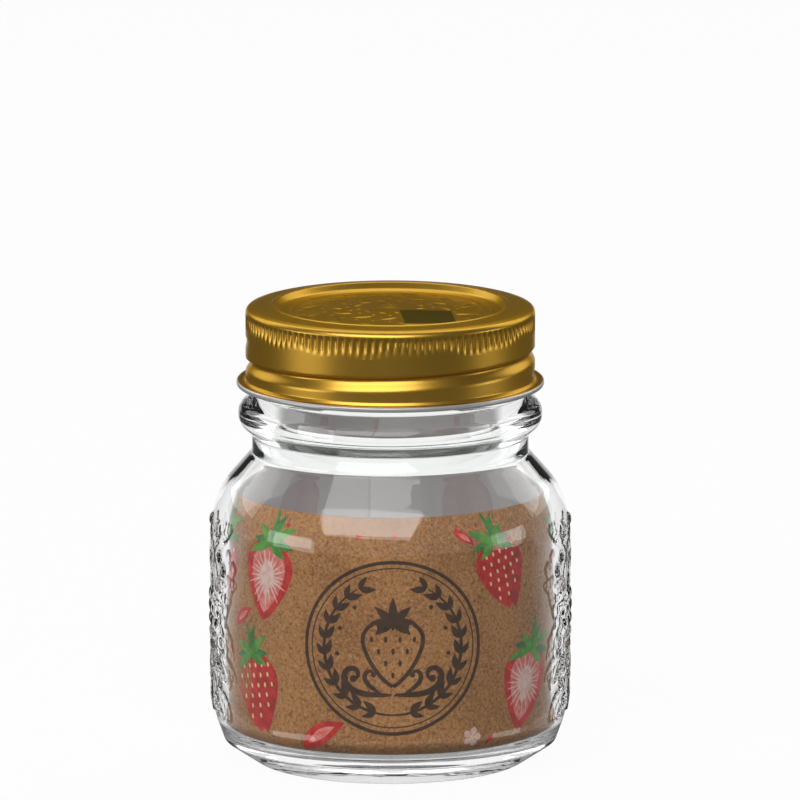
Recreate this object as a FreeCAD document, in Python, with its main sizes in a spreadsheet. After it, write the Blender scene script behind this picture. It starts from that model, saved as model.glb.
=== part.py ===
# A preserving jar of clear pressed glass, closed by its gold screw lid, with a printed paper band inside.
#
# All sizes are in millimetres. The jar stands on its foot at Z = 0, round the Z axis. Its bare front faces
# -Y, and the two garlands of fruit and leaves in relief stand on its -X and +X sides.

import FreeCAD
import Part
import Sketcher
import math
import os

# ---------------------------------------------------------------- driving dimensions

SIZES = [
    # the jar's outside, from the foot up
    ("punt_width", 5.0, "from the flat middle of the underside out to the standing ring"),
    ("punt_depth", 2.0, "how far the underside rises inside the foot"),
    ("punt_fillet", 2.5, "rounding where the underside rises"),
    ("foot_width", 3.0, "width of the ring that the jar stands on"),
    ("foot_fillet", 3.0, "rounding from the ring to the bevel of the heel"),
    ("bevel_width", 7.4, "from the ring out to the crease over the bevel of the heel"),
    ("heel_inset", 2.7, "how far that crease lies inside the body's radius"),
    ("heel_height", 4.9, "height of that crease"),
    ("heel_fillet", 0.8, "rounding of the crease"),
    ("body_radius", 41.1, "radius of the plain body"),
    ("body_start", 12.4, "height at which the heel meets the body"),
    ("body_fillet", 22.0, "rounding from the heel to the body"),
    ("shoulder_slope", 41.0, "slope of the shoulder, in degrees from upright"),
    ("shoulder_fillet", 18.0, "rounding from the body to the shoulder"),
    ("neck_radius", 31.95, "radius of the neck, between shoulder and collar"),
    ("neck_start", 72.3, "height at which the shoulder meets the neck"),
    ("neck_fillet", 2.2, "rounding from the shoulder to the neck"),
    ("collar_start", 76.5, "height of the collar's lower edge"),
    ("collar_flank", 2.9, "height of the collar's lower and upper flanks"),
    ("collar_face", 3.6, "height of the collar between its flanks"),
    ("collar_radius", 35.1, "radius of the collar"),
    ("collar_fillet", 3.0, "rounding between the collar's face and flanks"),
    ("collar_root", 0.8, "rounding at the foot of each flank"),
    ("finish_radius", 31.1, "radius of the finish, over which the lid goes"),
    ("jar_height", 105.5, "height of the jar's rim"),
    ("rim_fillet", 0.9, "rounding of the rim"),
    # the jar's inside
    ("wall", 3.3, "thickness of the body's glass"),
    ("floor_height", 6.4, "height of the inside's floor at its edge"),
    ("floor_crown", 0.8, "how far the floor rises to its middle"),
    ("floor_fillet", 4.6, "rounding from the floor to the wall"),
    ("inner_slope", 35.8, "slope of the shoulder's inside, in degrees from upright"),
    ("inner_fillet", 18.0, "rounding inside, from the body to the shoulder"),
    ("bore_radius", 28.2, "radius of the mouth"),
    ("bore_lift", 0.8, "how far the mouth's lower end lies over the neck's"),
    ("bore_fillet", 13.0, "rounding inside, from the shoulder to the mouth"),
    # the garlands on the jar's sides
    ("garland_foot", 9.1, "from the start of the body up to the lowest fruit"),
    ("garland_head", 14.3, "from the shoulder down to the highest fruit"),
    ("garland_sway", 5.5, "how far the fruits lie to either side of the garland's line"),
    ("fruit_radius", 5.6, "radius of a fruit's outline"),
    ("fruit_rise", 1.2, "how far a fruit stands out from the body"),
    ("leaf_length", 14.5, "length of a leaf"),
    ("leaf_width", 6.6, "width of a leaf"),
    ("leaf_angle", 38.0, "slope of a leaf, in degrees from level"),
    ("leaf_rise", 0.55, "how far a leaf stands out from the body"),
    # the lid, pressed from one sheet, measured from its lower edge
    ("sheet", 0.25, "thickness of the lid's sheet"),
    ("lid_radius", 33.4, "radius of the lid's skirt"),
    ("lid_height", 18.9, "height of the whole lid"),
    ("lid_fillet", 1.2, "rounding between the lid's top and its skirt"),
    ("top_rim_radius", 27.3, "inner edge of the flat rim round the lid's top"),
    ("panel_radius", 24.6, "radius of the sunk panel"),
    ("panel_depth", 1.2, "depth of the panel under the rim"),
    ("panel_fillet", 0.8, "rounding at both edges of the panel's slope"),
    ("curl_reach", 2.1, "how far the curl stands out from the skirt"),
    ("curl_height", 1.9, "height of the curl"),
    ("curl_fillet", 0.85, "rounding of the curl"),
    ("curl_gap", 0.45, "gap between the curl's edge and the skirt"),
    ("flute_count", 120, "number of flutes round the lid"),
    ("flute_radius", 0.7, "radius of a flute's hollow"),
    ("flute_depth", 0.28, "depth of a flute"),
    ("flute_length", 3.6, "length of a flute"),
    ("flute_drop", 2.1, "distance from the lid's top to the flutes"),
    # the sealing ring inside the lid
    ("seal_thickness", 0.95, "thickness of the sealing ring"),
    ("seal_gap", 0.2, "how far the sealing ring keeps off both edges of the lid's flat rim"),
    # the paper band inside the jar
    ("paper", 0.25, "thickness of the paper"),
    ("paper_gap", 0.2, "gap between the paper and the glass"),
    ("paper_foot", 1.7, "height of the band's lower edge over the floor's edge"),
    ("paper_slope", 30.0, "slope of the band's bent upper part, in degrees from upright"),
    ("paper_drop", 2.0, "how far the band's bend lies under the inner shoulder's"),
    ("paper_rise", 5.1, "height of the band's upper edge over its bend"),
    ("paper_fillet", 18.0, "rounding of the band's bend"),
    ("lap_angle", 16.0, "angle over which the paper's ends lap, in degrees"),
]

doc = FreeCAD.newDocument("preserving_jar")
sheet = doc.addObject("Spreadsheet::Sheet", "dim")
for row, (name, size, note) in enumerate(SIZES, start=1):
    sheet.set(f"A{row}", name)
    sheet.set(f"B{row}", str(size))
    sheet.set(f"C{row}", note)
    sheet.setAlias(f"B{row}", name)
doc.recompute()

# Heights and radii that follow from the sizes above, as expressions on the sheet.
HEEL_RADIUS = "(dim.body_radius - dim.heel_inset)"
FOOT_RADIUS = f"({HEEL_RADIUS} - dim.bevel_width)"
FOOT_INNER = f"({FOOT_RADIUS} - dim.foot_width)"
CORNER_RISE = "(dim.body_radius - dim.neck_radius) / tan(dim.shoulder_slope * 1 deg)"
SHOULDER = f"(dim.neck_start - {CORNER_RISE})"
COLLAR_LOW = "(dim.collar_start + dim.collar_flank)"
COLLAR_HIGH = f"({COLLAR_LOW} + dim.collar_face)"
COLLAR_TOP = f"({COLLAR_HIGH} + dim.collar_flank)"
INNER_RADIUS = "(dim.body_radius - dim.wall)"
BORE_START = "(dim.neck_start + dim.bore_lift)"
INNER_RISE = f"({INNER_RADIUS} - dim.bore_radius) / tan(dim.inner_slope * 1 deg)"
INNER_SHOULDER = f"({BORE_START} - {INNER_RISE})"
LID_BASE = "(dim.jar_height + dim.seal_thickness + dim.sheet - dim.lid_height)"


def value(expression):
    """The number that an expression on the sheet gives."""
    result = sheet.evalExpression(expression)
    return float(getattr(result, "Value", result))


# ---------------------------------------------------------------- sketches and features


def new_body(label):
    """An empty body with its own label."""
    body = doc.addObject("PartDesign::Body", label)
    body.Label = label
    return body


def datum(body, role):
    """One of the body's own origin planes or axes, such as XZ_Plane."""
    return next(item for item in body.Origin.OriginFeatures if item.Role == role)


def new_sketch(body, name, plane="XZ_Plane", height=None):
    """An empty sketch on one of the body's origin planes, or at a height over it."""
    sketch = body.newObject("Sketcher::SketchObject", name)
    sketch.AttachmentSupport = [(datum(body, plane), "")]
    sketch.MapMode = "FlatFace"
    if height:
        sketch.setExpression(".AttachmentOffset.Base.z", height)
    return sketch


def pin(sketch, element, point, x, y):
    """Holds a point of the sketch at two expressions."""
    for kind, axis, expression in (("DistanceX", -2, x), ("DistanceY", -1, y)):
        size = value(expression)
        if size == 0:
            sketch.addConstraint(Sketcher.Constraint("PointOnObject", element, point, axis))
            continue
        index = sketch.addConstraint(Sketcher.Constraint(kind, -1, 1, element, point, size))
        sketch.setExpression(f"Constraints[{index}]", expression)


def outline(sketch, corners):
    """Draws a closed outline through corners of (x, y, rounding); a sharp corner has None for rounding."""
    spots = [FreeCAD.Vector(value(x), value(y), 0) for x, y, _ in corners]
    radii = [value(rounding) if rounding else 0 for _, _, rounding in corners]
    count = len(corners)
    turns, leads, exits = [], [], []
    for i, spot in enumerate(spots):
        into = (spot - spots[i - 1]).normalize()
        out = (spots[(i + 1) % count] - spot).normalize()
        turn = math.atan2(into.x * out.y - into.y * out.x, into.dot(out))
        trim = radii[i] * math.tan(abs(turn) / 2)
        turns.append(turn)
        leads.append(spot - into * trim)
        exits.append(spot + out * trim)
    lines = []
    for i in range(count):
        segment = Part.LineSegment(exits[i], leads[(i + 1) % count])
        lines.append(sketch.addGeometry(segment, False))
    for i, (x, y, rounding) in enumerate(corners):
        before = lines[i - 1]
        after = lines[i]
        if not rounding:
            sketch.addConstraint(Sketcher.Constraint("Coincident", before, 2, after, 1))
            pin(sketch, after, 1, x, y)
            continue
        left = turns[i] > 0
        first, last = (leads[i], exits[i]) if left else (exits[i], leads[i])
        along = (spots[i] - spots[i - 1]).normalize() * radii[i]
        offset = FreeCAD.Vector(-along.y, along.x, 0)
        centre = leads[i] + offset if left else leads[i] - offset
        angles = [math.atan2(end.y - centre.y, end.x - centre.x) for end in (first, last)]
        circle = Part.Circle(centre, FreeCAD.Vector(0, 0, 1), radii[i])
        arc = sketch.addGeometry(Part.ArcOfCircle(circle, *angles), False)
        near, far = (1, 2) if left else (2, 1)
        sketch.addConstraint(Sketcher.Constraint("Tangent", before, 2, arc, near))
        sketch.addConstraint(Sketcher.Constraint("Tangent", arc, far, after, 1))
        index = sketch.addConstraint(Sketcher.Constraint("Radius", arc, radii[i]))
        sketch.setExpression(f"Constraints[{index}]", rounding)
        corner = sketch.addGeometry(Part.Point(spots[i]), True)
        sketch.addConstraint(Sketcher.Constraint("PointOnObject", corner, 1, before))
        sketch.addConstraint(Sketcher.Constraint("PointOnObject", corner, 1, after))
        pin(sketch, corner, 1, x, y)
    return sketch


def turn(body, kind, name, sketch, angle="360"):
    """Turns a sketch round the body's upright axis, to add or to cut."""
    feature = body.newObject(f"PartDesign::{kind}", name)
    feature.Profile = sketch
    feature.ReferenceAxis = (datum(body, "Z_Axis"), [""])
    feature.Midplane = True
    feature.setExpression("Angle", angle)
    doc.recompute()
    return feature


# ---------------------------------------------------------------- the jar


def add_leaf(body, name, y, z, direction):
    """A leaf right through the blank from side to side, from a point towards a direction in degrees."""
    sketch = new_sketch(body, f"{name}_outline", "YZ_Plane")
    tip_y = f"{y} + dim.leaf_length * cos({direction} * 1 deg)"
    tip_z = f"{z} + dim.leaf_length * sin({direction} * 1 deg)"
    bow = "(dim.leaf_length ^ 2 + dim.leaf_width ^ 2) / (4 * dim.leaf_width)"
    base = FreeCAD.Vector(value(y), value(z), 0)
    tip = FreeCAD.Vector(value(tip_y), value(tip_z), 0)
    across = (tip - base).cross(FreeCAD.Vector(0, 0, 1)).normalize() * value("dim.leaf_width") / 2
    middle = (base + tip) / 2
    for start, bulge, end in ((base, middle + across, tip), (tip, middle - across, base)):
        sketch.addGeometry(Part.Arc(start, bulge, end), False)
    sketch.addConstraint(Sketcher.Constraint("Coincident", 0, 2, 1, 1))
    sketch.addConstraint(Sketcher.Constraint("Coincident", 1, 2, 0, 1))
    pin(sketch, 0, 1, y, z)
    pin(sketch, 0, 2, tip_y, tip_z)
    for arc in (0, 1):
        index = sketch.addConstraint(Sketcher.Constraint("Radius", arc, value(bow)))
        sketch.setExpression(f"Constraints[{index}]", bow)
    leaf = body.newObject("PartDesign::Pad", name)
    leaf.Profile = sketch
    leaf.Midplane = True
    leaf.Refine = False
    leaf.setExpression("Length", "2 * (dim.body_radius + 2 * dim.leaf_rise)")
    doc.recompute()


def add_fruit(body, name, side, y, z):
    """A ball sunk in the blank's wall, so that a shallow round fruit stands out of it."""
    ball = body.newObject("PartDesign::AdditiveSphere", name)
    ball.AttachmentSupport = [(datum(body, "XY_Plane"), "")]
    ball.MapMode = "FlatFace"
    ball.Refine = False
    radius = "(dim.fruit_radius ^ 2 + dim.fruit_rise ^ 2) / (2 * dim.fruit_rise)"
    reach = f"(dim.body_radius + dim.fruit_rise - {radius})"
    around = f"({y}) / dim.body_radius * 1 rad"
    ball.setExpression("Radius", radius)
    ball.setExpression(".AttachmentOffset.Base.x", f"{side} * {reach} * cos({around})")
    ball.setExpression(".AttachmentOffset.Base.y", f"{reach} * sin({around})")
    ball.setExpression(".AttachmentOffset.Base.z", z)
    doc.recompute()


LEAF_DIRECTIONS = ("dim.leaf_angle", "180 - dim.leaf_angle", "180 + dim.leaf_angle", "-dim.leaf_angle")


def add_garlands(body):
    """On both sides, three fruits one over the other, each with four leaves spread behind it."""
    low = "(dim.body_start + dim.garland_foot)"
    high = f"({SHOULDER} - dim.garland_head)"
    middle = f"(({low} + {high}) / 2)"
    fruits = [("dim.garland_sway", low), ("-dim.garland_sway", middle), ("dim.garland_sway", high)]
    for number, (y, z) in enumerate(fruits, start=1):
        for quarter, direction in enumerate(LEAF_DIRECTIONS, start=1):
            add_leaf(body, f"leaf_{number}_{quarter}", y, z, f"({direction})")
    reach = "dim.body_radius + dim.leaf_rise"
    beyond = "dim.body_radius + dim.leaf_length"
    trim = outline(new_sketch(body, "leaf_trim"), [
        (reach, "dim.heel_height", None),
        (beyond, "dim.heel_height", None),
        (beyond, "dim.neck_start", None),
        (reach, "dim.neck_start", None),
    ])
    turn(body, "Groove", "leaf_tops", trim)
    for number, (y, z) in enumerate(fruits, start=1):
        for side, hand in ((-1, "left"), (1, "right")):
            add_fruit(body, f"fruit_{hand}_{number}", side, y, z)


def make_jar():
    """The glass jar, of one piece."""
    body = new_body("jar")
    outside = outline(new_sketch(body, "outside"), [
        ("0", "dim.punt_depth", None),
        (f"{FOOT_INNER} - dim.punt_width", "dim.punt_depth", "dim.punt_fillet"),
        (FOOT_INNER, "0", None),
        (FOOT_RADIUS, "0", "dim.foot_fillet"),
        (HEEL_RADIUS, "dim.heel_height", "dim.heel_fillet"),
        ("dim.body_radius", "dim.body_start", "dim.body_fillet"),
        ("dim.body_radius", SHOULDER, "dim.shoulder_fillet"),
        ("dim.neck_radius", "dim.neck_start", "dim.neck_fillet"),
        ("dim.neck_radius", "dim.collar_start", "dim.collar_root"),
        ("dim.collar_radius", COLLAR_LOW, "dim.collar_fillet"),
        ("dim.collar_radius", COLLAR_HIGH, "dim.collar_fillet"),
        ("dim.finish_radius", COLLAR_TOP, "dim.collar_root"),
        ("dim.finish_radius", "dim.jar_height", "dim.rim_fillet"),
        ("0", "dim.jar_height", None),
    ])
    turn(body, "Revolution", "blank", outside)
    add_garlands(body)
    inside = outline(new_sketch(body, "inside"), [
        ("0", "dim.floor_height + dim.floor_crown", None),
        (INNER_RADIUS, "dim.floor_height", "dim.floor_fillet"),
        (INNER_RADIUS, INNER_SHOULDER, "dim.inner_fillet"),
        ("dim.bore_radius", BORE_START, "dim.bore_fillet"),
        ("dim.bore_radius", "dim.jar_height", None),
        ("0", "dim.jar_height", None),
    ])
    hollow = turn(body, "Groove", "hollow", inside)
    body.Tip = hollow
    return body


# ---------------------------------------------------------------- the lid


def add_flutes(body):
    """The grip round the skirt: a hollow outside and a rib inside, pressed together and repeated round."""
    height = "dim.lid_height - dim.flute_drop - dim.flute_length"
    centre = "dim.lid_radius - dim.flute_depth + dim.flute_radius"
    rib_radius = "dim.flute_radius + dim.sheet"
    chord = "dim.lid_radius - dim.sheet / 2"
    rib_outline = new_sketch(body, "rib_outline", "XY_Plane", height)
    middle = FreeCAD.Vector(value(centre), 0, 0)
    half = math.acos((value(centre) - value(chord)) / value(rib_radius))
    circle = Part.Circle(middle, FreeCAD.Vector(0, 0, 1), value(rib_radius))
    arc = rib_outline.addGeometry(Part.ArcOfCircle(circle, math.pi - half, math.pi + half), False)
    ends = [rib_outline.Geometry[arc].StartPoint, rib_outline.Geometry[arc].EndPoint]
    line = rib_outline.addGeometry(Part.LineSegment(ends[1], ends[0]), False)
    rib_outline.addConstraint(Sketcher.Constraint("Coincident", arc, 2, line, 1))
    rib_outline.addConstraint(Sketcher.Constraint("Coincident", line, 2, arc, 1))
    rib_outline.addConstraint(Sketcher.Constraint("Vertical", line))
    pin(rib_outline, arc, 3, centre, "0")
    for kind, element, expression in (("Radius", arc, rib_radius), ("DistanceX", line, chord)):
        if kind == "Radius":
            constraint = Sketcher.Constraint(kind, element, value(expression))
        else:
            constraint = Sketcher.Constraint(kind, -1, 1, element, 1, value(expression))
        index = rib_outline.addConstraint(constraint)
        rib_outline.setExpression(f"Constraints[{index}]", expression)
    rib = body.newObject("PartDesign::Pad", "rib")
    rib.Profile = rib_outline
    rib.setExpression("Length", "dim.flute_length")
    doc.recompute()
    flute_outline = new_sketch(body, "flute_outline", "XY_Plane", height)
    hollow = Part.Circle(middle, FreeCAD.Vector(0, 0, 1), value("dim.flute_radius"))
    circle = flute_outline.addGeometry(hollow, False)
    pin(flute_outline, circle, 3, centre, "0")
    index = flute_outline.addConstraint(Sketcher.Constraint("Radius", circle, value("dim.flute_radius")))
    flute_outline.setExpression(f"Constraints[{index}]", "dim.flute_radius")
    flute = body.newObject("PartDesign::Pocket", "flute")
    flute.Profile = flute_outline
    flute.Reversed = True
    flute.setExpression("Length", "dim.flute_length")
    doc.recompute()
    grip = body.newObject("PartDesign::PolarPattern", "grip")
    grip.Originals = [rib, flute]
    grip.Axis = (datum(body, "Z_Axis"), [""])
    grip.Angle = 360
    grip.setExpression("Occurrences", "dim.flute_count")
    body.Tip = grip
    doc.recompute()


def make_lid():
    """The screw lid, pressed from one sheet: sunk panel, flat rim, fluted skirt and rolled curl."""
    body = new_body("lid")
    half_slope = "atan(dim.panel_depth / (dim.top_rim_radius - dim.panel_radius)) / 2"
    shift = f"dim.sheet * tan({half_slope})"
    curl_radius = "dim.lid_radius + dim.curl_reach"
    curl_edge = "dim.lid_radius + dim.curl_gap"
    sheet_outline = outline(new_sketch(body, "sheet_section"), [
        ("0", "dim.lid_height - dim.panel_depth", None),
        ("0", "dim.lid_height - dim.panel_depth - dim.sheet", None),
        (f"dim.panel_radius + {shift}", "dim.lid_height - dim.panel_depth - dim.sheet",
         "dim.panel_fillet + dim.sheet"),
        (f"dim.top_rim_radius + {shift}", "dim.lid_height - dim.sheet", "dim.panel_fillet - dim.sheet"),
        ("dim.lid_radius - dim.sheet", "dim.lid_height - dim.sheet", "dim.lid_fillet - dim.sheet"),
        ("dim.lid_radius - dim.sheet", "0", "dim.curl_fillet"),
        (curl_radius, "0", "dim.curl_fillet"),
        (curl_radius, "dim.curl_height", "dim.curl_fillet"),
        (curl_edge, "dim.curl_height", None),
        (curl_edge, "dim.curl_height - dim.sheet", None),
        (f"{curl_radius} - dim.sheet", "dim.curl_height - dim.sheet", "dim.curl_fillet - dim.sheet"),
        (f"{curl_radius} - dim.sheet", "dim.sheet", "dim.curl_fillet - dim.sheet"),
        ("dim.lid_radius", "dim.sheet", "dim.curl_fillet - dim.sheet"),
        ("dim.lid_radius", "dim.lid_height", "dim.lid_fillet"),
        ("dim.top_rim_radius", "dim.lid_height", "dim.panel_fillet"),
        ("dim.panel_radius", "dim.lid_height - dim.panel_depth", "dim.panel_fillet"),
    ])
    turn(body, "Revolution", "pressing", sheet_outline)
    add_flutes(body)
    body.setExpression("Placement.Base.z", LID_BASE)
    return body


# ---------------------------------------------------------------- the sealing ring and the paper band


def make_sealing_ring():
    """The flat ring of sealing compound between the jar's rim and the lid."""
    body = new_body("sealing_ring")
    inner = "dim.top_rim_radius + dim.seal_gap"
    outer = "dim.lid_radius - dim.lid_fillet - dim.seal_gap"
    section = outline(new_sketch(body, "seal_section"), [
        (inner, "0", None),
        (outer, "0", None),
        (outer, "dim.seal_thickness", None),
        (inner, "dim.seal_thickness", None),
    ])
    turn(body, "Revolution", "seal", section)
    body.setExpression("Placement.Base.z", "dim.jar_height")
    return body


def make_paper_band():
    """The printed paper that lines the jar, its lower and upper edges led inwards by the glass."""
    body = new_body("paper_band")
    gap = "dim.paper_gap"
    upright = f"{INNER_RADIUS} - {gap}"
    bend = f"{INNER_SHOULDER} - dim.paper_drop"
    foot = f"{upright} - dim.floor_fillet / 2"
    top = f"{upright} - dim.paper_rise * tan(dim.paper_slope * 1 deg)"
    low = "dim.floor_height + dim.paper_foot"
    start = "dim.floor_height + dim.floor_fillet"
    for name, inset, angle in (("band", "0", "360"), ("lap", "dim.paper", "dim.lap_angle")):
        back = f"({inset} + dim.paper)"
        section = outline(new_sketch(body, f"{name}_section"), [
            (f"{foot} - {inset}", low, None),
            (f"{upright} - {inset}", start, None),
            (f"{upright} - {inset}", bend, "dim.paper_fillet"),
            (f"{top} - {inset}", f"{bend} + dim.paper_rise", None),
            (f"{top} - {back}", f"{bend} + dim.paper_rise", None),
            (f"{upright} - {back}", bend, "dim.paper_fillet"),
            (f"{upright} - {back}", start, None),
            (f"{foot} - {back}", low, None),
        ])
        turn(body, "Revolution", name, section, angle)
    return body


# ---------------------------------------------------------------- build and write

parts = [make_jar(), make_lid(), make_sealing_ring(), make_paper_band()]
doc.recompute()
for item in doc.Objects:
    if "Invalid" in item.State or "Error" in item.State:
        raise RuntimeError(f"{item.Label} failed: {item.State}")
os.makedirs("parts", exist_ok=True)
for item in parts:
    shape = item.Shape
    if shape.isNull() or not shape.isValid() or len(shape.Solids) != 1:
        raise RuntimeError(f"{item.Label} isn't one valid solid")
    shape.exportStep(f"parts/{item.Label}.step")
    print(item.Label, round(shape.Volume / 1000, 2), "cm3", shape.BoundBox)
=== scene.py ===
import math
import random

import bpy
import bmesh
import numpy as np
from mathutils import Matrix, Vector


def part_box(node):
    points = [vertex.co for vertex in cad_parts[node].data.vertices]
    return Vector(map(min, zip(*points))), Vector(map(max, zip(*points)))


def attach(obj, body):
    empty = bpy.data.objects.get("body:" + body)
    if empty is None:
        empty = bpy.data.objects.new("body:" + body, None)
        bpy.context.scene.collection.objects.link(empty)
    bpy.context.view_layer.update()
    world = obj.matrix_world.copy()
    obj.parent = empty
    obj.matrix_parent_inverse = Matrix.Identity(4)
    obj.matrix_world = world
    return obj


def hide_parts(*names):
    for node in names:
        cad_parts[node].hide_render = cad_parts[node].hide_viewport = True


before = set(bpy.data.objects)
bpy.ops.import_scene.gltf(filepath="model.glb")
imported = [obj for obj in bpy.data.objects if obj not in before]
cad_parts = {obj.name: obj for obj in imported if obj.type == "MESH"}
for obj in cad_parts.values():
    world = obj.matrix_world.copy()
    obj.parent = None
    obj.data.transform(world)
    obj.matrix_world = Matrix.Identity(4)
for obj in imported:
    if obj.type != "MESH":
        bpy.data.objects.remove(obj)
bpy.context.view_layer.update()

# A clear glass preserving jar with relief fruit and leaves on its sides, a gold screw lid and a printed
# paper band inside. Shapes are worked out in millimetres and written in metres. An angle round the jar is 0
# at its bare front, on -Y, and grows towards +X.

MM = 0.001
TURN = 2 * math.pi


# ---------------------------------------------------------------- sizes, from the frame where it holds them


def box_mm(node):
    """The lowest and highest corners of a CAD node, in millimetres."""
    low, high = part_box(node)
    return low / MM, high / MM


_, jar_high = box_mm("jar")
lid_low, lid_high = box_mm("lid")
seal_low, seal_high = box_mm("sealing_ring")
paper_low, paper_high = box_mm("paper_band")

BODY_RADIUS = jar_high.y
RELIEF_LIMIT = jar_high.x - jar_high.y - 0.03
JAR_TOP = jar_high.z
LID_TOP = lid_high.z
LID_FOOT = lid_low.z
LID_EDGE = lid_high.x
PAPER_RADIUS = paper_high.y
PAPER_FOOT = paper_low.z
PAPER_TOP = paper_high.z

# the glass; the garland fades in and out between its pairs of heights
WALL = 3.3
FINISH_RADIUS = 31.1
BORE_RADIUS = 28.2
NECK_RADIUS = 31.95
COLLAR_RADIUS = 35.1
GARLAND_FOOT = (9.5, 12.0)
GARLAND_TOP = (57.5, 60.5)
THREAD_PITCH = 5.08
THREAD_DEPTH = 1.35

# the lid, and the middle, half sizes and slant of the bare square on its panel
SKIRT_RADIUS = 33.4
SHEET = 0.25
FLUTES = 120
FLUTE_DEPTH = 0.48
GROOVE_HEIGHT = 94.9
GROOVE_DEPTH = 1.2
SQUARE = (8.7, -10.3)
SQUARE_HALF = (6.0, 6.5)
SQUARE_SLANT = 0.105


# ---------------------------------------------------------------- shapes of revolution


def unit(vector):
    return vector / np.linalg.norm(vector)


def rounded(corners, spacing):
    """Points along a path of (radius, height, rounding) corners, at most spacing(height) apart."""
    widest_turn, edge, closest = 0.2, 0.2, 0.02
    path = []
    spots = [np.array(corner[:2], float) for corner in corners]
    for i, here in enumerate(spots):
        rounding = corners[i][2] if len(corners[i]) > 2 else 0
        arc = [here]
        if rounding:
            into = unit(here - spots[i - 1])
            out = unit(spots[i + 1] - here)
            turn = math.atan2(into[0] * out[1] - into[1] * out[0], into @ out)
            inward = np.array((-into[1], into[0])) * math.copysign(rounding, turn)
            start = here - into * rounding * math.tan(abs(turn) / 2)
            steps = math.ceil(abs(turn) * rounding / spacing(here[1]))
            steps = max(3, steps, math.ceil(abs(turn) / widest_turn))
            arc = []
            for k in range(steps + 1):
                cos, sin = math.cos(turn * k / steps), math.sin(turn * k / steps)
                x, y = -inward
                arc.append(start + inward + np.array((x * cos - y * sin, x * sin + y * cos)))
        if path:
            run = arc[0] - path[-1]
            length = np.linalg.norm(run)
            near = min(edge, length / 4) / length if length > 0.05 else 0
            steps = max(1, math.ceil(length / spacing((arc[0][1] + path[-1][1]) / 2)))
            shares = [near] + [k / steps for k in range(1, steps)] + [1 - near]
            if near:
                base = path[-1]
                path.extend([base + run * share for share in sorted(shares)])
        path.extend(arc)
    kept = [path[0]]
    for point in path[1:]:
        if np.linalg.norm(point - kept[-1]) > closest:
            kept.append(point)
    return np.array(kept)


def normals(path):
    """Unit normals of a path of (radius, height) points, to the left of its direction."""
    along = np.gradient(path, axis=0)
    along /= np.linalg.norm(along, axis=1)[:, None]
    return np.stack((-along[:, 1], along[:, 0]), axis=1)


def new_piece(name, points, faces, slots, materials):
    """A smooth-shaded mesh in the scene."""
    mesh = bpy.data.meshes.new(name)
    mesh.from_pydata(points, [], faces)
    for material in materials:
        mesh.materials.append(material)
    mesh.polygons.foreach_set("material_index", slots)
    mesh.polygons.foreach_set("use_smooth", [True] * len(faces))
    piece = bpy.data.objects.new(name, mesh)
    bpy.context.scene.collection.objects.link(piece)
    return piece


class Skin:
    """Rings of points and the faces between neighbouring rings, which become one piece."""

    def __init__(self):
        self.points = []
        self.faces = []
        self.slots = []
        self.last = None

    def ring(self, radius, height, angles, slot=0):
        """Adds a ring, of one radius and height or of one for each angle, and joins it to the one before."""
        start = len(self.points)
        radius = np.broadcast_to(radius, angles.shape)
        height = np.broadcast_to(height, angles.shape)
        xyz = np.stack((radius * np.sin(angles), -radius * np.cos(angles), height), axis=1) * MM
        self.points.extend(map(tuple, xyz))
        self.join(list(range(start, len(self.points))), slot)

    def pole(self, height, slot=0):
        """Adds a point on the axis and joins it to the ring before."""
        self.points.append((0.0, 0.0, height * MM))
        self.join([len(self.points) - 1], slot)

    def join(self, ring, slot):
        last, self.last = self.last, ring
        if last is None:
            return
        if len(ring) > len(last):
            coarse, fine, flip = last, ring, False
        else:
            coarse, fine, flip = ring, last, True
        share = len(fine) // len(coarse)
        for k in range(len(coarse) if len(coarse) > 1 else share):
            if len(coarse) == 1:
                face = [coarse[0], fine[(k + 1) % share], fine[k]]
            else:
                run = [fine[(k * share + step) % len(fine)] for step in range(share, -1, -1)]
                face = [coarse[k], coarse[(k + 1) % len(coarse)]] + run
            self.faces.append(face[::-1] if flip else face)
            self.slots.append(slot)

    def piece(self, name, materials):
        """The finished piece, whose faces look outwards."""
        piece = new_piece(name, self.points, self.faces, self.slots, materials)
        work = bmesh.new()
        work.from_mesh(piece.data)
        bmesh.ops.recalc_face_normals(work, faces=work.faces)
        work.to_mesh(piece.data)
        work.free()
        return piece


def even_angles(count):
    return np.arange(count) / count * TURN - math.pi


def bump(distance, width):
    """1 at distance 0, falling smoothly to 0 at the given width."""
    return np.clip(1 - (distance / width) ** 2, 0, 1) ** 2


def ramp(value, start, end):
    """0 before start and 1 after end, smooth between them."""
    share = np.clip((value - start) / (end - start), 0, 1)
    return share * share * (3 - 2 * share)


# ---------------------------------------------------------------- materials


class Wire:
    """A shader socket that takes part in Python expressions; each operator adds its Math node."""

    def __init__(self, finish, socket):
        self.finish = finish
        self.socket = socket

    def __add__(self, other):
        return self.finish.maths("ADD", self, other)

    def __radd__(self, other):
        return self.finish.maths("ADD", other, self)

    def __sub__(self, other):
        return self.finish.maths("SUBTRACT", self, other)

    def __rsub__(self, other):
        return self.finish.maths("SUBTRACT", other, self)

    def __mul__(self, other):
        return self.finish.maths("MULTIPLY", self, other)

    def __rmul__(self, other):
        return self.finish.maths("MULTIPLY", other, self)


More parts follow.
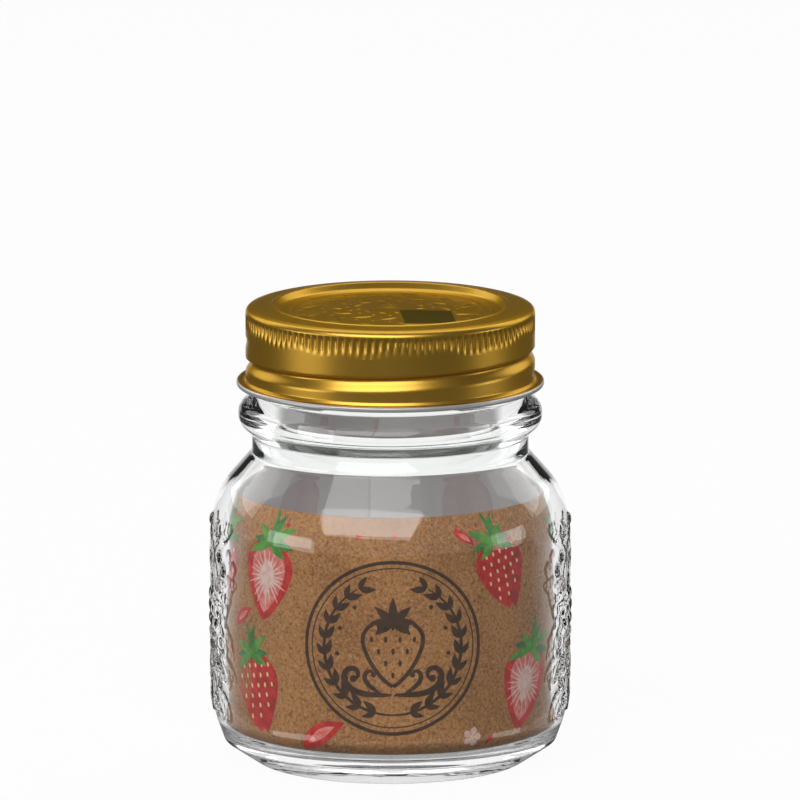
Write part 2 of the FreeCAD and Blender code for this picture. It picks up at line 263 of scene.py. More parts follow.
class Finish:
    """The node tree of a material or of the world, built by expressions."""

    def __init__(self, name, made_in=bpy.data.materials):
        self.made = made_in.new(name)
        self.made.use_nodes = True
        self.tree = self.made.node_tree
        self.tree.nodes.clear()

    def node(self, kind, settings=None, values=None, output=0):
        """Adds a node: first its settings, then its sockets' values or links; returns one of its outputs."""
        node = self.tree.nodes.new(kind)
        for key, setting in (settings or {}).items():
            setattr(node, key, setting)
        for key, value in (values or {}).items():
            if isinstance(value, Wire):
                self.tree.links.new(value.socket, node.inputs[key])
            else:
                node.inputs[key].default_value = value
        return Wire(self, node.outputs[output]) if node.outputs else node

    def maths(self, operation, *values, clamp=False):
        settings = {"operation": operation, "use_clamp": clamp}
        return self.node("ShaderNodeMath", settings, dict(enumerate(values)))

    def mix(self, first, second, share):
        """A colour between two colours."""
        values = {0: share, 6: _colour(first), 7: _colour(second)}
        return self.node("ShaderNodeMix", {"data_type": "RGBA"}, values, output=2)

    def place(self):
        """The point on the object, in metres."""
        return self.node("ShaderNodeTexCoord", output="Object")

    def parts(self):
        """The point's three coordinates, in metres."""
        place = self.place()
        return [self.node("ShaderNodeSeparateXYZ", None, {0: place}, output=axis) for axis in range(3)]

    def stretched(self, x, y, z):
        """The point on the object, multiplied along each axis."""
        values = {0: self.place(), 1: (x, y, z)}
        return self.node("ShaderNodeVectorMath", {"operation": "MULTIPLY"}, values)

    def noise(self, scale, detail, roughness, where=None):
        """Noise from 0 to 1 whose lumps are about 1 / scale metres wide."""
        values = {"Vector": where or self.place(), "Scale": scale, "Detail": detail, "Roughness": roughness}
        return self.node("ShaderNodeTexNoise", None, values)

    def step(self, value, start, end):
        """0 where the value is under start, 1 where it is over end."""
        values = {"Value": value, "From Min": start, "From Max": end}
        return self.node("ShaderNodeMapRange", {"interpolation_type": "SMOOTHSTEP"}, values)

    def bumps(self, height, depth):
        """A normal that a height field of the given depth in millimetres tilts."""
        values = {"Height": height, "Distance": depth * MM, "Strength": 1.0}
        return self.node("ShaderNodeBump", None, values)

    def light_path(self, output):
        return self.node("ShaderNodeLightPath", output=output)

    def seen_through(self):
        """1 for a ray that has come through glass and lit no matt surface on its way, else 0."""
        through = self.maths("MINIMUM", self.light_path("Transmission Depth"), 1.0)
        lit = self.maths("MINIMUM", self.light_path("Diffuse Depth"), 1.0)
        return through * (1 - lit)

    def principled(self, **values):
        named = {key.replace("_", " "): _colour(value) for key, value in values.items()}
        return self.node("ShaderNodeBsdfPrincipled", None, named)

    def done(self, shader, output="Material"):
        self.node("ShaderNodeOutput" + output, None, {"Surface": shader})
        return self.made


def _colour(value):
    return (*value, 1.0) if isinstance(value, tuple) and len(value) == 3 else value


def clear_glass():
    """Polished soda glass, faintly green in its depth; lamps shine through it."""
    finish = Finish("clear_glass")
    ripple = finish.noise(170, 1.0, 0.4)
    glass = finish.principled(
        Base_Color=(0.985, 0.995, 0.99), Roughness=0.0, IOR=1.5, Transmission_Weight=1.0,
        Normal=finish.bumps(ripple, 0.02))
    through = finish.node("ShaderNodeBsdfTransparent", None, {"Color": (0.93, 0.95, 0.94, 1)})
    lamp = finish.light_path("Is Shadow Ray")
    return finish.done(finish.node("ShaderNodeMixShader", None, {0: lamp, 1: glass, 2: through}))


def gold_lacquer():
    """Gold lacquer over tinplate, finely brushed and slightly mottled, with a plain dark square on top."""
    finish = Finish("gold_lacquer")
    across, depth, height = finish.parts()
    cloud = finish.noise(70, 2.0, 0.5)
    grain = finish.noise(2500, 2.0, 0.6, finish.stretched(0.3, 0.3, 3.0))
    x, y = across - SQUARE[0] * MM, depth - SQUARE[1] * MM
    square = finish.step(height, 0.1, 0.101)
    for away, half in zip((x + SQUARE_SLANT * y, y - SQUARE_SLANT * x), SQUARE_HALF):
        away = finish.maths("ABSOLUTE", away)
        square = square * (1 - finish.step(away, (half - 0.1) * MM, (half + 0.1) * MM))
    colour = finish.mix((0.62, 0.345, 0.035), (0.70, 0.41, 0.06), cloud)
    colour = finish.mix(colour, (0.20, 0.15, 0.022), square)
    rough = 0.31 + 0.03 * grain + 0.03 * cloud
    metal = finish.principled(
        Base_Color=colour, Metallic=1.0, Roughness=rough, Coat_Weight=0.3, Coat_Roughness=0.15,
        Specular_Tint=(0.80, 0.62, 0.18), Normal=finish.bumps(grain, 0.0015))
    return finish.done(metal)


def bare_tin():
    """The lid's inner side, which shows outside on its curl: pale lacquered tin."""
    finish = Finish("pale_tin")
    cloud = finish.noise(120, 3.0, 0.6)
    colour = finish.mix((0.62, 0.63, 0.62), (0.74, 0.74, 0.72), cloud)
    return finish.done(finish.principled(Base_Color=colour, Metallic=0.6, Roughness=0.32 + 0.08 * cloud))


def sealing_compound():
    """Soft off-white compound with a faint mottle."""
    finish = Finish("sealing_compound")
    cloud = finish.noise(300, 4.0, 0.6)
    colour = finish.mix((0.66, 0.65, 0.60), (0.78, 0.77, 0.73), cloud)
    normal = finish.bumps(cloud, 0.04)
    return finish.done(finish.principled(Base_Color=colour, Roughness=0.5 + 0.1 * cloud, Normal=normal))


def kraft(finish):
    """The colour of brown paper, with fibres, specks and faint clouds, and the fibres by themselves."""
    cloud = finish.noise(60, 4.0, 0.6)
    fibre = finish.noise(1700, 4.0, 0.75)
    fleck = finish.noise(1300, 1.0, 0.5)
    blend = finish.step(0.25 * cloud + 0.75 * fibre, 0.38, 0.62)
    colour = finish.mix((0.225, 0.092, 0.028), (0.43, 0.205, 0.073), blend)
    colour = finish.mix(colour, (0.11, 0.045, 0.016), finish.step(fleck, 0.6, 0.72) * 0.7)
    return finish.mix(colour, (0.46, 0.28, 0.13), finish.step(fleck, 0.38, 0.28) * 0.6), fibre


def brown_paper():
    """Uncoated brown kraft paper."""
    finish = Finish("brown_kraft_paper")
    colour, fibre = kraft(finish)
    rough = 0.78 + 0.1 * fibre
    return finish.done(finish.principled(
        Base_Color=colour, Roughness=rough, Specular_IOR_Level=0.12, Normal=finish.bumps(fibre, 0.03)))


def white_back():
    """The unprinted side of the paper, greyish white."""
    finish = Finish("paper_back")
    fibre = finish.noise(1200, 5.0, 0.7)
    colour = finish.mix((0.70, 0.67, 0.66), (0.80, 0.77, 0.76), fibre)
    normal = finish.bumps(fibre, 0.03)
    return finish.done(finish.principled(Base_Color=colour, Roughness=0.8 + 0.1 * fibre, Normal=normal))


def ink(name, deep, light, scale=420, paper_share=0.16):
    """Printed ink that varies between two colours, with the paper's fibres showing a little."""
    finish = Finish(name)
    paper, fibre = kraft(finish)
    wash = finish.noise(scale, 3.0, 0.6)
    colour = finish.mix(deep, light, finish.step(wash, 0.36, 0.64))
    colour = finish.mix(colour, paper, paper_share * fibre)
    rough = 0.6 + 0.15 * fibre
    return finish.done(finish.principled(Base_Color=colour, Roughness=rough, Specular_IOR_Level=0.12))


# ---------------------------------------------------------------- the glass jar


def leaf_relief(across, up, y, z, direction, length, width, height):
    """A leaf from (y, z) towards a direction in degrees: a low cushion with a midrib and slanting veins."""
    cos, sin = math.cos(math.radians(direction)), math.sin(math.radians(direction))
    along = (across - y) * cos + (up - z) * sin
    side = (up - z) * cos - (across - y) * sin
    share = np.clip(along / length, 0, 1)
    half = np.maximum(width / 2 * np.sin(math.pi * share ** 0.8), 1e-6)
    inside = (along > 0) & (along < length) & (np.abs(side) < half)
    cushion = np.clip(1 - (side / half) ** 2, 0, 1) ** 0.4 * np.clip(4 * share * (1.1 - share), 0, 1) ** 0.5
    midrib = -0.45 * bump(side, 0.55)
    veins = 0.16 * np.cos(TURN * (along - 0.9 * np.abs(side)) / 2.1)
    return np.where(inside, height * (cushion * (0.85 + veins) + midrib * cushion), 0)


def ball_relief(across, up, y, z, radius, height, stretch=1.0):
    """A round or upright oval fruit."""
    away = ((across - y) / radius) ** 2 + ((up - z) / (radius * stretch)) ** 2
    return height * np.clip(1 - away, 0, 1) ** 0.5


def stem_relief(across, up, start, end, bow, thickness, height):
    """A bowed stem between two points."""
    start, end = np.array(start, float), np.array(end, float)
    run = end - start
    length = np.linalg.norm(run)
    cos, sin = run / length
    along = ((across - start[0]) * cos + (up - start[1]) * sin) / length
    side = (up - start[1]) * cos - (across - start[0]) * sin - bow * 4 * along * (1 - along)
    inside = (along > -0.02) & (along < 1.02)
    return np.where(inside, height * np.clip(1 - (side / thickness) ** 2, 0, 1) ** 0.5, 0)


def garland_relief(across, up):
    """The relief on one side of the jar: apple, grapes and berry with leaves, stems and small berries."""
    parts = []

    def leaf(*values):
        parts.append(leaf_relief(across, up, *values))

    def ball(*values):
        parts.append(ball_relief(across, up, *values))

    for start, end, bow in (((5.5, 56), (-4, 42), 3), ((-5, 41), (5, 28), -3), ((4, 29), (-2, 12), 3)):
        parts.append(stem_relief(across, up, start, end, bow, 0.8, 0.45))
    for y, z in ((5.5, 47.5), (-5.5, 34.5), (5.5, 21.5)):
        for direction in (38, 142, 218, 322):
            lean, length = random.uniform(-9, 9), random.uniform(12.5, 14.5)
            leaf(y, z, direction + lean, length, random.uniform(5.8, 7.2), 0.55)
    leaf(-4.5, 53, 160, 11, 5.2, 0.6)
    leaf(-6, 25, 200, 12, 5.6, 0.6)
    leaf(-8, 42, 172, 9.5, 4.6, 0.55)
    leaf(12, 35, 12, 9, 4.6, 0.5)
    leaf(-5, 16.5, 205, 11, 5.0, 0.5)
    # the apple, with the dimple of its blossom end
    apple = ball_relief(across, up, 5.5, 47.5, 6.2, 0.93)
    parts.append(apple - 0.5 * bump(np.hypot(across - 5.9, up - 45.4), 1.5))
    # a bunch of grapes, widest at its top
    for row, count in enumerate((3, 4, 3, 2, 1)):
        for k in range(count):
            shift = (k - (count - 1) / 2) * 3.3
            ball(-5.5 + shift + random.uniform(-0.2, 0.2), 39.2 - row * 2.8, 1.85, 0.9)
    # the berry, pointed below and dimpled all over, under its crown of small leaves
    taper = 1 - 0.05 * (24 - up)
    berry = ball_relief((across - 5.5) / np.clip(taper, 0.4, 1.1) + 5.5, up, 5.5, 21.5, 5.2, 0.93, 1.2)
    row = np.round((up - 21.5) / 1.6)
    seeds = bump((across - 5.5 + 0.9 * row) % 1.8 - 0.9, 0.5) * bump((up - 21.5) % 1.6 - 0.8, 0.5)
    parts.append(np.where(berry > 0.2, berry - 0.28 * seeds, berry))
    for direction in (20, 65, 115, 160):
        leaf(5.5, 26.2, direction, 4.6, 2.4, 0.9)
    # small berries in the gaps
    for y, z, radius in (
        (-13, 29.5, 1.7), (-10.5, 27.2, 1.5), (13.5, 41, 1.6), (-14.5, 46.8, 1.7), (-12, 49.4, 1.4),
        (14, 28.5, 1.6), (-1.5, 56.5, 1.6), (-12.5, 19.8, 1.6), (-4.2, 20.4, 1.4), (12.5, 13.8, 1.5),
    ):
        ball(y, z, radius, 0.8)
    return np.clip(np.maximum.reduce(parts), 0, RELIEF_LIMIT)


def jar_spacing(height):
    """The longest step along the jar's outside: fine over the relief and the thread."""
    if 9 < height < 60:
        return 0.46
    return 0.65 if 60 < height else 1.0


def thread(angles, height, centre, rise_before, rise_after):
    """How far a helix round the jar's top reaches at each point: 1 on its line, 0 away from it."""
    reach = np.zeros(angles.shape)
    for lap in (-1, 0, 1):
        turns = angles / TURN + lap
        away = height - centre - THREAD_PITCH * turns
        shape = ramp(away, -rise_before, 0) * (1 - ramp(away, 0, rise_after))
        reach = np.maximum(reach, shape * (1 - ramp(np.abs(turns), 0.62, 0.82)))
    return reach


def make_jar(glass):
    """The glass as one closed skin: outside from the underside up to the rim, then the inside down."""
    outside = rounded([
        (0.6, 2.0), (23.0, 2.0, 2.5), (28.0, 0.0, 0.8), (31.0, 0.0, 2.6), (38.4, 4.9, 0.8),
        (BODY_RADIUS, 12.4, 22.0), (BODY_RADIUS, 61.77, 18.0), (NECK_RADIUS, 72.3, 2.2),
        (NECK_RADIUS, 76.5, 0.8), (COLLAR_RADIUS, 79.4, 3.4), (COLLAR_RADIUS, 83.0, 3.0),
        (FINISH_RADIUS, 85.9, 0.8), (FINISH_RADIUS, JAR_TOP, 0.9), (30.0, JAR_TOP),
    ], jar_spacing)
    inside = rounded([
        (29.6, JAR_TOP), (BORE_RADIUS, JAR_TOP, 0.5), (BORE_RADIUS, 73.1, 13.0),
        (BODY_RADIUS - WALL, 59.8, 18.0), (BODY_RADIUS - WALL, 6.4, 4.6), (0.6, 7.2),
    ], lambda height: 1.4)
    # points lie closer together over the garlands, each this wide, than in front and behind
    fine = math.radians(74)
    coarse = math.pi - fine
    sectors = [(-math.pi, coarse / 2, 44), (-math.pi + coarse / 2, fine, 136), (-coarse / 2, coarse, 88),
               (coarse / 2, fine, 136), (math.pi - coarse / 2, coarse / 2, 44)]
    angles = np.concatenate([start + np.arange(count) / count * width for start, width, count in sectors])
    side_way = np.arcsin(np.clip(-np.cos(angles), -1, 1)) * BODY_RADIUS
    rises = garland_relief(side_way[None, :], outside[:, 1][:, None])
    skin = Skin()
    skin.pole(outside[0][1])
    for (radius, height), (out, up), rise in zip(outside, -normals(outside), rises):
        rise = rise * ramp(height, *GARLAND_FOOT) * (1 - ramp(height, *GARLAND_TOP))
        if 88 < height < 104:
            rise = THREAD_DEPTH * thread(angles, height, GROOVE_HEIGHT + 1.9, 1.2, 0.9)
        skin.ring(radius + out * rise, height + up * rise, angles)
    for radius, height in inside:
        wave = 0.05 * np.sin(3 * angles + height / 9) + 0.04 * np.sin(7 * angles - height / 6 + 1)
        calm = ramp(height, 8, 20) * (1 - ramp(height, 92, 100))
        skin.ring(radius - wave * calm, height, angles)
    skin.pole(inside[-1][1])
    return skin.piece("glass_jar", [glass])


# ---------------------------------------------------------------- the lid


def panel_relief(radius, angles):
    """The pressed ornament on the lid's panel: rings of leaves and dots inside a bead, round a knob."""
    rise = 0.22 * bump(radius - 22.6, 0.7) + 0.3 * bump(radius, 3.4)
    leaves = 12
    for ring, (middle, lean) in enumerate(((18.4, 1), (12.6, -1), (7.4, 1))):
        share = (angles / TURN * leaves + 0.5 * ring) % 1 - 0.5
        along = share * TURN / leaves * middle
        y = radius - middle
        cos, sin = math.cos(0.6), math.sin(0.6) * lean
        u, v = along * cos + y * sin, y * cos - along * sin
        reach = middle * 0.19
        half = np.maximum(reach * 0.42 * (1 - (u / reach) ** 2), 1e-6)
        leaf = np.clip(1 - (v / half) ** 2, 0, 1) * (np.abs(u) < reach)
        veins = 1 - 0.5 * bump(v, 0.3) - 0.2 * (0.5 + 0.5 * np.cos(TURN * (u - np.abs(v)) / 0.9))
        rise = np.maximum(rise, 0.22 * leaf * veins)
    for middle, count, size in ((20.6, 24, 0.62), (15.5, 24, 0.5), (9.9, 16, 0.5)):
        share = (angles / TURN * count + 0.5) % 1 - 0.5
        away = np.hypot(share * TURN / count * middle, radius - middle)
        rise = np.maximum(rise, 0.13 * np.clip(1 - (away / size) ** 2, 0, 1))
    # the square stays flat
    x, y = radius * np.sin(angles) - SQUARE[0], -radius * np.cos(angles) - SQUARE[1]
    square = 1
    for away, half in zip((x + SQUARE_SLANT * y, y - SQUARE_SLANT * x), SQUARE_HALF):
        square = square * (1 - ramp(np.abs(away), half + 0.1, half + 0.9))
    return rise * (1 - square)


def make_lid(gold, tin):
    """The lid as one closed skin: panel, rim, fluted and grooved skirt, rolled curl, and the inner side."""
    top = LID_TOP
    foot = LID_FOOT
    panel_edge = 23.8
    panel = rounded([
        (0.5, top - 0.7), (7, top - 0.75, 80), (23.9, top - 1.75, 1.6), (25.4, top - 1.3, 1.4),
        (26.7, top - 0.1, 0.4), (27.1, top + 0.03, 0.4), (27.6, top - 0.17, 0.5), (28.0, top - 0.2),
    ], lambda height: 0.34)
    rim = rounded([
        (28.2, top - 0.22), (31.4, top - 0.47, 4.0),
        (SKIRT_RADIUS, top - 1.0, 1.3), (SKIRT_RADIUS, top - 2.0),
    ], lambda height: 0.5)
    flutes = rounded([(SKIRT_RADIUS, top - 2.05), (SKIRT_RADIUS, top - 6.8)], lambda height: 0.36)
    skirt = rounded([
        (SKIRT_RADIUS, top - 6.9), (SKIRT_RADIUS, foot + 1.9, 0.7), (33.95, foot + 0.95, 0.5),
        (34.5, foot + 1.2, 0.25), (34.95, foot + 1.27, 0.3), (35.2, foot + 1.19),
    ], lambda height: 0.36)
    # the curl, and from it the whole inner side up to the middle of the panel
    curl = rounded([
        (35.24, foot + 1.17), (LID_EDGE, foot + 0.95, 0.3), (LID_EDGE, foot, 0.5),
        (LID_EDGE - 1.1, foot, 0.35), (33.9, foot + 0.34, 0.3),
        (SKIRT_RADIUS - SHEET, foot + 0.5, 0.4), (SKIRT_RADIUS - SHEET, top - 7.2),
        (SKIRT_RADIUS - 0.78, top - 6.6), (SKIRT_RADIUS - 0.78, top - 2.4, 0.5),
        (SKIRT_RADIUS - 0.9, top - 1.0, 0.6), (31.2, top - 0.7), (27.5, top - 0.46), (26.6, top - 0.6, 0.3),
        (25.2, top - 1.5, 1.0), (23.9, top - 2.02, 1.6), (7.0, top - 1.02, 80), (0.5, top - 0.97),
    ], lambda height: 0.6)
    skin = Skin()
    fine = even_angles(FLUTES * 8)
    middle = even_angles(FLUTES * 4)
    few = even_angles(FLUTES * 2)
    skin.pole(top - 0.68)
    for radius, height in panel:
        angles = middle if radius > 6 else few
        skin.ring(radius, height + panel_relief(radius, angles) * (radius < panel_edge), angles)
    for radius, height in rim:
        skin.ring(radius, height, middle)
    for radius, height in flutes:
        uneven = 0.35 * np.sin(7 * fine) + 0.3 * np.sin(17 * fine + 1)
        fade = ramp(top - height, 1.9, 2.9) * (1 - ramp(top - height + uneven, 3.2, 6.8))
        hollow = FLUTE_DEPTH * (0.5 - 0.5 * np.cos(FLUTES * fine)) ** 1.2
        skin.ring(radius - hollow * fade, height, fine)

    def groove(angles, height):
        fade = (1 - ramp(height, top - 7.4, top - 6.9)) * ramp(height, foot + 1, foot + 3)
        return GROOVE_DEPTH * thread(angles, height, GROOVE_HEIGHT, 2.8, 0.8) * fade

    for radius, height in skirt:
        skin.ring(radius - groove(middle, height), height, middle)
    for radius, height in curl:
        inside = 30 < radius < SKIRT_RADIUS
        skin.ring(radius - groove(middle, height) * inside, height, middle, slot=1)
    skin.pole(curl[-1][1], slot=1)
    return skin.piece("gold_lid", [gold, tin])


def make_seal(compound):
    """The flat ring of compound, its inner and outer edges softly rounded as it was poured."""
    inner, outer = 27.5, seal_high.x
    low, high = seal_low.z, seal_high.z
    section = rounded([
        (30.0, low), (outer, low, 0.2), (outer, high - 0.5, 0.2),
        (inner, high - 0.3, 0.3), (inner, low, 0.2), (29.9, low),
    ], lambda height: 1.0)
    skin = Skin()
    angles = even_angles(240)
    for radius, height in section:
        skin.ring(radius, height, angles)
    skin.join(list(range(len(angles))), 0)
    return skin.piece("seal", [compound])


# ---------------------------------------------------------------- the paper band and its print

# the sheet's thickness, where it leaves the upright, its bend at the top, and its lap at the back
PAPER = 0.25
PAPER_HEEL = 11.0
PAPER_BEND = 53.0
PAPER_LENGTH = 9.0
BEND_RADIUS = 18
LAP = math.radians(16)


def paper_reach(height):
    """The radius of the band's printed side at a height: upright, but led inwards at its foot and its top."""
    foot = np.clip((PAPER_HEEL - height) / (PAPER_HEEL - PAPER_FOOT), 0, 1)
    top = np.clip(height - PAPER_BEND, 0, PAPER_LENGTH)
    return PAPER_RADIUS - 2.2 * foot ** 1.3 - BEND_RADIUS + np.sqrt(BEND_RADIUS ** 2 - top ** 2)


def on_band(arc, height, lift):
    """A point on the band, so far round it from the front and so high, lifted off the printed side."""
    angle = arc / PAPER_RADIUS
    radius = paper_reach(height) + lift
    return np.stack((radius * np.sin(angle), -radius * np.cos(angle), height), axis=-1) * MM


def make_band(brown, white):
    """One strip of paper, whose inner end runs under the outer end at the back."""
    heights = np.concatenate((
        np.linspace(PAPER_FOOT, 12, 7), np.linspace(14, 52, 20), np.linspace(PAPER_BEND, PAPER_TOP, 14)))
    arcs = np.linspace(-math.pi - LAP / 2, math.pi + LAP / 2, 331) * PAPER_RADIUS
    loop = [(height, 0) for height in heights] + [(height, PAPER) for height in heights[::-1]]
    points = []
    for arc in arcs:
        tuck = (PAPER + 0.06) * float(ramp(arc / PAPER_RADIUS, math.pi - LAP / 2 - 0.12, math.pi - LAP / 2))
        for height, depth in loop:
            wave = 0.04 * math.sin(arc / 9) * math.sin(height / 14)
            points.append(tuple(on_band(arc, height, -depth - tuck + min(wave, 0.03))))
    count = len(loop)
    faces, slots = [], []
    for row in range(len(arcs) - 1):
        for k in range(count):
            a, b = row * count + k, row * count + (k + 1) % count
            faces.append((a, a + count, b + count, b))
            slots.append(1 if len(heights) <= k < count - 1 else 0)
    for start, turn in ((0, 1), ((len(arcs) - 1) * count, -1)):
        for k in range(len(heights) - 1):
            faces.append((start + k, start + k + 1, start + count - 2 - k, start + count - 1 - k)[::turn])
            slots.append(0)
    return new_piece("kraft_band", points, faces, slots, [brown, white])


class Print:
    """Thin patches of one ink on the band."""

    def __init__(self, name, material, lift):
        self.name = name
        self.material = material
        self.lift = lift
        self.points = []
        self.faces = []

    def patch(self, spine, half, across=8):
        """A patch along a spine of (arc, height) points, of the given half width at each."""
        spine = np.asarray(spine, float)
        along = np.gradient(spine, axis=0)
        along /= np.linalg.norm(along, axis=1)[:, None]
        left = np.stack((-along[:, 1], along[:, 0]), axis=1)
        start = len(self.points)
        for k in range(across + 1):
            offset = left * (np.asarray(half) * (1 - 2 * k / across))[:, None]
            arc, height = (spine + offset).T
            height = np.clip(height, PAPER_FOOT + 0.15, PAPER_TOP - 0.15)
            self.points.extend(map(tuple, on_band(arc, height, self.lift)))
        rows = len(spine)
        for k in range(across):
            for row in range(rows - 1):
                a, b = start + k * rows + row, start + (k + 1) * rows + row
                face = (a, b, b + 1, a + 1)
                self.faces.append(face if self.lift > 0 else face[::-1])

    def dot(self, arc, height, radius, stretch=1.0, lean=0.0):
        """A round or oval spot."""
        share = np.sin(np.linspace(-math.pi / 2, math.pi / 2, 11))
        spine = np.stack((arc + radius * stretch * share * math.sin(lean),
                          height + radius * stretch * share * math.cos(lean)), axis=1)
        self.patch(spine, radius * np.sqrt(np.clip(1 - share ** 2, 0, 1)), 6)

    def stroke(self, spine, thick):
        """A pen stroke, thin at both ends."""
        share = np.linspace(0, 1, len(spine))
        self.patch(spine, thick / 2 * (0.3 + 0.7 * np.sin(math.pi * share) ** 0.6), 2)

    def piece(self):
        return new_piece(self.name, self.points, self.faces, [0] * len(self.faces), [self.material])


def blade(base, direction, length, bend=0.0, steps=15):
    """Points from a base towards a direction in radians from upright, bending sideways on the way."""
    share = np.linspace(0, 1, steps)
    lean = direction + bend * share
    step = length / (steps - 1)
    arc = base[0] + np.concatenate(([0], np.cumsum(np.sin(lean[:-1]) * step)))
    height = base[1] + np.concatenate(([0], np.cumsum(np.cos(lean[:-1]) * step)))
    return np.stack((arc, height), axis=1)


def onward(place, direction, reach):
    """The point that far from a place, towards a direction in radians from upright."""
    return place[0] + reach * math.sin(direction), place[1] + reach * math.cos(direction)


def leaf_half(width, steps=15, belly=0.75):
    """The half width of a leaf or petal from its base to its tip."""
    share = np.linspace(0, 1, steps)
    return width / 2 * np.sin(math.pi * share ** belly)


def berry_half(width, steps):
    """The half width of a berry from its tip to its crown."""
    share = np.linspace(0, 1, steps)
    shoulder = np.clip((share - 0.55) / 0.45, 0, 1)
    return width / 2 * (1 - (1 - share) ** 2.1) ** 0.8 * np.sqrt(np.clip(1 - shoulder ** 2.4, 0, 1))


def crown(inks, base, lean, size):
    """Small green leaves on top of a berry, and its stalk."""
    for k, angle in enumerate((-1.75, -1.2, -0.6, 0.1, 0.65, 1.25, 1.8)):
        length = size * (0.36 + 0.08 * math.sin(5 * k + size))
        spine = blade(base, lean + angle, length, 0.6 * math.copysign(1, angle))
        inks["leaf" if k % 2 else "leaf_light"].patch(spine, leaf_half(size * 0.11), 4)
    inks["leaf"].stroke(blade(base, lean + 0.15, size * 0.42, -0.4), size * 0.06)


def whole_berry(inks, arc, height, size, lean):
    """A whole berry seen from outside, with pale seeds."""
    tip = onward((arc, height), lean, -size / 2)
    inks["red"].patch(blade(tip, lean, size, 0.0, 25), berry_half(size * 0.8, 25), 14)
    shade = blade(tip, lean + 0.13, size * 0.9, 0.12, 25) + (size * 0.1, 0)
    inks["shade"].patch(shade, berry_half(size * 0.42, 25), 8)
    for row in range(6):
        share = 0.2 + 0.125 * row
        wide = size * 0.8 * float(berry_half(1, 101)[int(share * 100)])
        places = 2 + min(row, 3)
        for k in range(places):
            side = ((k + 0.5 * (row % 2)) / places * 2 - 0.8) * wide * 0.85
            if abs(side) > wide * 0.85:
                continue
            x = tip[0] + share * size * math.sin(lean) + side * math.cos(lean)
            y = tip[1] + share * size * math.cos(lean) - side * math.sin(lean)
            inks["seed"].dot(x, y, size * 0.016, 1.9, lean)
    crown(inks, onward((arc, height), lean, size * 0.44), lean, size)


def cut_berry(inks, arc, height, size, lean):
    """A berry cut in half: red rim, rosy flesh with pale rays, and a pale heart."""
    tip = onward((arc, height), lean, -size / 2)
    inks["red"].patch(blade(tip, lean, size, 0.0, 25), berry_half(size * 0.82, 25), 14)
    inner = onward(tip, lean, size * 0.1)
    inks["flesh"].patch(blade(inner, lean, size * 0.82, 0.0, 25), berry_half(size * 0.58, 25), 10)
    middle = onward((arc, height), lean, size * 0.06)
    rays = 22
    for k in range(rays):
        angle = lean + TURN * k / rays
        reach = size * (0.25 + 0.1 * abs(math.cos(angle - lean))) * random.uniform(0.85, 1.1)
        ray = blade(middle, angle, reach, random.uniform(-0.15, 0.15), 9)
        inks["pale"].patch(ray, size * 0.02 * np.linspace(1.1, 0.15, 9), 2)
    heart = onward(tip, lean, size * 0.3)
    inks["pale"].patch(blade(heart, lean, size * 0.46, 0.0, 21), berry_half(size * 0.2, 21), 6)
    crown(inks, onward((arc, height), lean, size * 0.44), lean, size)


def slice_of_berry(inks, arc, height, size, lean):
    """A thin slice lying on its side."""
    spine = blade(onward((arc, height), lean, -size / 2), lean, size, 0.5, 21)
    inks["red"].patch(spine, leaf_half(size * 0.36, 21, 0.9), 6)
    inks["flesh"].patch(spine[4:17], leaf_half(size * 0.16, 13, 1.0), 4)


def blossom(inks, arc, height, size):
    """A five-petalled blossom."""
    for k in range(5):
        petal = blade((arc, height), TURN * k / 5 + 0.3, size * 0.5, 0.0, 11)
        inks["pale"].patch(petal, leaf_half(size * 0.36, 11, 1.5), 4)
    inks["seed"].dot(arc, height, size * 0.1)


def volute(start, heading, length, last, side):
    """A line that ends in a spiral: its bend grows from nothing to last, in radians for each millimetre."""
    steps, power = 71, 2.2
    share = np.linspace(0, 1, steps)
    lean = heading + length * last * share ** (power + 1) / (power + 1)
    path = np.stack((np.cumsum(np.cos(lean)), np.cumsum(np.sin(lean))), axis=1) * length / steps
    return path * (side, 1) + start


